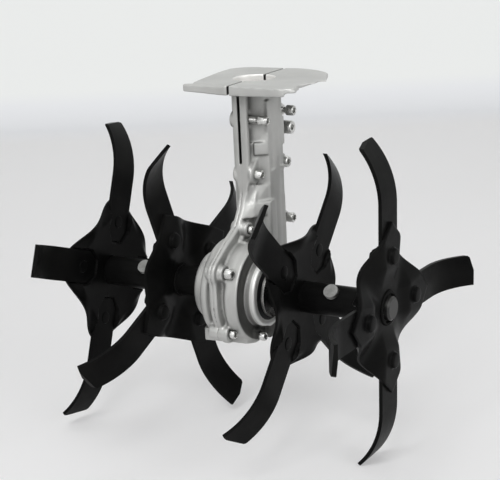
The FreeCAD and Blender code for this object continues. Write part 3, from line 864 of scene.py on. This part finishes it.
def makeClip(name, sign):
    tilt = math.radians(clip["tilt"])
    pinWay = Vector((0.0, -math.sin(tilt), math.cos(tilt)))
    sideWay = Vector((0.0, math.cos(tilt), math.sin(tilt)))
    hole = Vector((sign * clip["pinX"], shaftY, shaftZ)) + pinWay * clip["along"]
    spots = smoothPath(clip["path"])

    def build(sketch):
        loops = []
        for k, spot in enumerate(spots):
            run = (spots[min(k + 1, len(spots) - 1)] - spots[max(k - 1, 0)]).normalized()
            centre = hole + Vector((sign * spot.x, 0, 0)) + sideWay * spot.y
            flank = Vector((-sign * run.y, 0, 0)) + sideWay * run.x
            loop = []
            for i in range(clip["sides"]):
                around = 2 * math.pi * i / clip["sides"]
                reach = flank * math.cos(around) + pinWay * math.sin(around)
                loop.append(sketch.verts.new((centre + reach * clip["wire"]) * mm))
            loops.append(loop)
        for a, b in zip(loops, loops[1:]):
            for i in range(clip["sides"]):
                j = (i + 1) % clip["sides"]
                sketch.faces.new((a[i], a[j], b[j], b[i]))
        sketch.faces.new(loops[0][::-1])
        sketch.faces.new(loops[-1])

    mesh = meshFrom(build, "spring_clip_" + name)
    addPiece("spring_clip_" + name, mesh, "tine_rotor", "zinc_plate", 60.0)


for clipName, sign in (("right", 1), ("left", -1)):
    makeClip(clipName, sign)
print("spring clips made")


# pale paper sweep: floor, fold and wall, each with the tone that it has in the background; the fold carries a
# painted shadow band, darker in both tone and glow
studio = {
    "floor": (0.88, 0.88, 0.88), "foldShade": (0.70, 0.715, 0.74), "wall": (0.84, 0.85, 0.845),
    "floorGlow": (0.98, 0.975, 0.985), "foldShadeGlow": (0.87, 0.882, 0.902), "wallGlow": (0.865, 0.88, 0.87),
    "glowShare": (0.32, 0.86), "facing": 30.86, "wallDistance": 1.25, "wallHeight": 2.5, "floorReach": 9.0,
    "bendRadius": 0.10, "bendSteps": 12, "floorGap": 0.0002, "worldLevel": 0.30, "roughness": 0.75,
    "specular": 0.2, "cloudTone": (0.70, 0.70, 0.70), "cloudScale": 1.4, "cloudShare": 0.12, "toneReach": 4.0,
}
# between the first and the last stop lies the painted shadow band at the fold
foldStops = (0.200, 0.226, 0.249, 0.258)      # where the tones change along the paper, as shares of toneReach
softboxes = {                                 # place, size and power
    "keyLight": ((0.15, -1.15, 1.15), (0.8, 0.8), 14.0),
    "sideLight": ((1.5, -0.35, 0.55), (0.9, 0.9), 6.0),
    "topLight": ((-0.3, 0.3, 1.4), (1.2, 0.8), 3.0),
}
softboxTarget = (0.0, -0.03, -0.12)


def tones(floor, foldShade, wall):
    return list(zip(foldStops, (studio[floor], studio[foldShade], studio[foldShade], studio[wall])))


def seenDirectly(tree):
    # 1 for the camera's view of the background and for what metal or glass shows of it
    path = addNode(tree, "ShaderNodeLightPath")
    seen = path.outputs["Is Camera Ray"]
    for ray in ("Is Glossy Ray", "Is Transmission Ray"):
        either = addNode(tree, "ShaderNodeMath", operation="MAXIMUM")
        tree.links.new(seen, either.inputs[0])
        tree.links.new(path.outputs[ray], either.inputs[1])
        seen = either.outputs[0]
    return seen


def paperProfile():
    # distance behind the object and height above the floor
    wall, bend = studio["wallDistance"], studio["bendRadius"]
    profile = [(-studio["floorReach"], 0.0), (wall - bend, 0.0)]
    for step in range(1, studio["bendSteps"] + 1):
        turn = math.radians(90.0 * step / studio["bendSteps"])
        profile.append((wall - bend + bend * math.sin(turn), bend * (1 - math.cos(turn))))
    return profile + [(wall, studio["wallHeight"])]


def makeStudio():
    floorZ = cadBox[0].z - studio["floorGap"]
    facing = math.radians(studio["facing"])
    away = Vector((-math.sin(facing), math.cos(facing), 0.0))
    wide = Vector((away.y, -away.x, 0.0))
    widths = (-studio["floorReach"], 0.0, studio["floorReach"])

    def build(sketch):
        rows = []
        for distance, height in paperProfile():
            base = away * distance + Vector((0, 0, floorZ + height))
            rows.append([sketch.verts.new(base + wide * width) for width in widths])
        for a, b in zip(rows, rows[1:]):
            for k in range(2):
                sketch.faces.new((a[k], a[k + 1], b[k + 1], b[k]))

    mesh = meshFrom(build, "backdrop")
    for polygon in mesh.polygons:
        polygon.use_smooth = True
    backdrop = bpy.data.objects.new("backdrop", mesh)
    bpy.context.scene.collection.objects.link(backdrop)
    material, tree, shader, coords = startMaterial("paper")
    reach = addNode(tree, "ShaderNodeVectorMath", operation="DOT_PRODUCT")
    reach.inputs[1].default_value = (away.x, away.y, 1.0)
    tree.links.new(coords, reach.inputs[0])
    along = spread(tree, reach.outputs["Value"], 0.0, studio["toneReach"])
    # the band at the fold is a painted shadow, in both the lit tone and the glow
    paper = tint(tree, along, tones("floor", "foldShade", "wall"))
    glow = tint(tree, along, tones("floorGlow", "foldShadeGlow", "wallGlow"))
    cloud = grain(tree, coords, studio["cloudScale"], 2.0)
    cloudy = spread(tree, cloud, 0.3, 0.7, 0.0, studio["cloudShare"])
    paper = blendColours(tree, cloudy, paper, studio["cloudTone"])
    tree.links.new(paper, shader.inputs["Base Color"])
    shader.inputs["Roughness"].default_value = studio["roughness"]
    shader.inputs["Specular IOR Level"].default_value = studio["specular"]
    glower = addNode(tree, "ShaderNodeEmission")
    tree.links.new(glow, glower.inputs["Color"])
    share = addNode(tree, "ShaderNodeMath", operation="MULTIPLY")
    tree.links.new(seenDirectly(tree), share.inputs[0])
    tree.links.new(spread(tree, along, foldStops[0], foldStops[3], *studio["glowShare"]), share.inputs[1])
    mixed = addNode(tree, "ShaderNodeMixShader")
    tree.links.new(share.outputs[0], mixed.inputs[0])
    tree.links.new(shader.outputs[0], mixed.inputs[1])
    tree.links.new(glower.outputs[0], mixed.inputs[2])
    tree.links.new(mixed.outputs[0], tree.nodes["Material Output"].inputs["Surface"])
    mesh.materials.append(material)


def addSoftbox(name, place, size, power):
    lamp = bpy.data.lights.new(name, "AREA")
    lamp.shape = "RECTANGLE"
    lamp.size, lamp.size_y = size
    lamp.energy = power
    holder = bpy.data.objects.new(name, lamp)
    bpy.context.scene.collection.objects.link(holder)
    holder.location = place
    aim = Vector(softboxTarget) - Vector(place)
    holder.rotation_mode = "QUATERNION"
    holder.rotation_quaternion = aim.to_track_quat("-Z", "Y")


makeStudio()
for lampName, (place, size, power) in softboxes.items():
    addSoftbox(lampName, place, size, power)

# the air lights the object evenly, and looks as pale as the wall where the paper ends
world = bpy.data.worlds.new("studioAir")
world.use_nodes = True
bpy.context.scene.world = world
airTree = world.node_tree
air = airTree.nodes["Background"]
air.inputs["Color"].default_value = (1.0, 1.0, 1.0, 1.0)
air.inputs["Strength"].default_value = studio["worldLevel"]
seenAir = airTree.nodes.new("ShaderNodeBackground")
seenAir.inputs["Color"].default_value = (*studio["wallGlow"], 1.0)
airMix = airTree.nodes.new("ShaderNodeMixShader")
airTree.links.new(seenDirectly(airTree), airMix.inputs[0])
airTree.links.new(air.outputs[0], airMix.inputs[1])
airTree.links.new(seenAir.outputs[0], airMix.inputs[2])
airTree.links.new(airMix.outputs[0], airTree.nodes["World Output"].inputs["Surface"])

cameraSettings = {
    "location": (0.450897, -0.769634, 0.140134),
    "right": (0.86391079, 0.50172818, -0.04389744),
    "up": (-0.10111496, 0.25816906, 0.96079368),
    "lens": 95.6285, "sensor": 36.0, "nearest": 0.02,
}
cameraData = bpy.data.cameras.new("camera")
camera = bpy.data.objects.new("camera", cameraData)
bpy.context.scene.collection.objects.link(camera)
rightWay, upWay = Vector(cameraSettings["right"]), Vector(cameraSettings["up"])
backWay = rightWay.cross(upWay)
turned = Matrix((rightWay, upWay, backWay)).transposed().to_4x4()
camera.matrix_world = Matrix.Translation(cameraSettings["location"]) @ turned
cameraData.lens = cameraSettings["lens"]
cameraData.sensor_width = cameraSettings["sensor"]
cameraData.clip_start = cameraSettings["nearest"]
bpy.context.scene.camera = camera
bpy.context.scene.view_settings.view_transform = "Standard"
print("studio and camera made")
